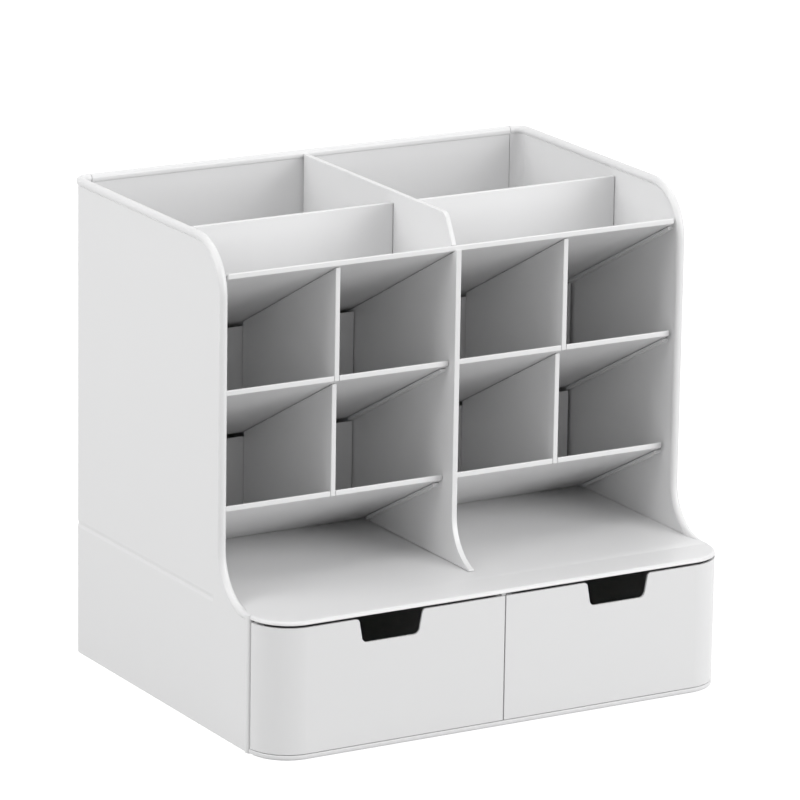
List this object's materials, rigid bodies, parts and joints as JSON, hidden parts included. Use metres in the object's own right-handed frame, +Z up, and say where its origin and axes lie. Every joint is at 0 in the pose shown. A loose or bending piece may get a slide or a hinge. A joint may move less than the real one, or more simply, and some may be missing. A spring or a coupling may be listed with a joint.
{
  "type": "desktop drawer organizer",
  "caption": "White moulded desktop organizer: drawers under an open shelf, slanted pen and marker trays stepped above it, and divided bins on top between rounded side panels.",
  "frame": {"origin": "centre of the footprint, on the surface that the organizer stands on", "axes": "+X across towards the right drawer, +Y from the drawer fronts to the back panel, +Z up"},
  "size_m": [0.2566, 0.2026, 0.2408],
  "materials": {
    "shell_plastic": "satin white injection-moulded plastic with a very fine even texture",
    "tray_plastic": "satin white injection-moulded plastic with softly polished edges",
    "drawer_plastic": "satin white injection-moulded plastic with a very fine even texture"
  },
  "bodies": {
    "housing": {"base_plate": "shell_plastic", "deck": "shell_plastic", "back_panel": "shell_plastic", "left_side_panel": "shell_plastic", "right_side_panel": "shell_plastic", "drawer_bay_partition": "tray_plastic", "centre_wall": "shell_plastic", "left_marker_tray": "tray_plastic", "right_marker_tray": "tray_plastic", "left_marker_divider": "tray_plastic", "right_marker_divider": "tray_plastic", "left_pencil_tray": "tray_plastic", "right_pencil_tray": "tray_plastic", "left_pencil_divider": "tray_plastic", "right_pencil_divider": "tray_plastic", "top_tray": "tray_plastic", "top_centre_divider": "tray_plastic", "left_top_partition": "tray_plastic", "right_top_partition": "tray_plastic"},
    "left_drawer_body": {"left_drawer": "drawer_plastic"},
    "right_drawer_body": {"right_drawer": "drawer_plastic"}
  },
  "joints": [
    {"name": "left_drawer_slide", "type": "slide", "parent": "housing", "child": "left_drawer_body", "axis": [0, -1, 0], "range_m": [0, 0.13]},
    {"name": "right_drawer_slide", "type": "slide", "parent": "housing", "child": "right_drawer_body", "axis": [0, -1, 0], "range_m": [0, 0.13]}
  ]
}
